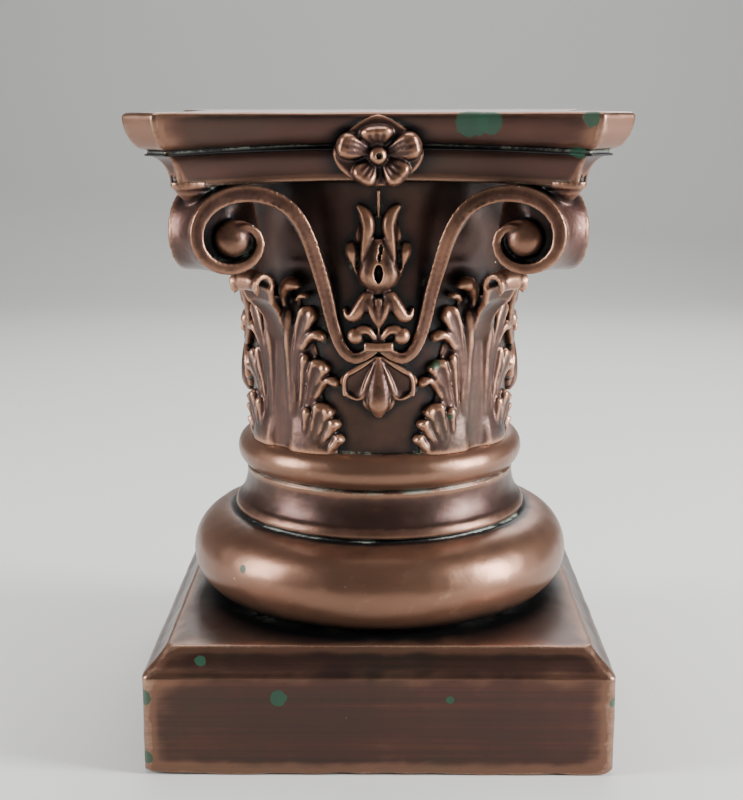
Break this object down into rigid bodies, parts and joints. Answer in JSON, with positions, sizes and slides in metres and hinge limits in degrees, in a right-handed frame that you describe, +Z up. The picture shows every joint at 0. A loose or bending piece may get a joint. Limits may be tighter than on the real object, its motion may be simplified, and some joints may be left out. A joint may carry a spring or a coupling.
{
  "type": "column plant stand",
  "caption": "Short round column on a square plinth, with a turned base and a leafy capital with corner scrolls, used as a pedestal for a plant pot.",
  "frame": {"origin": "middle of the underside", "axes": "+Z up along the column, -Y the front, +X to the right of the front; all four sides are alike"},
  "size_m": [0.338, 0.338, 0.46],
  "materials": {
    "bronze_paint": "cast resin or plaster painted dark brown with copper rubbed over it, satin, worn bright on raised edges and darker in the hollows"
  },
  "bodies": {
    "root": {"column_plant_stand": "bronze_paint"}
  },
  "joints": []
}
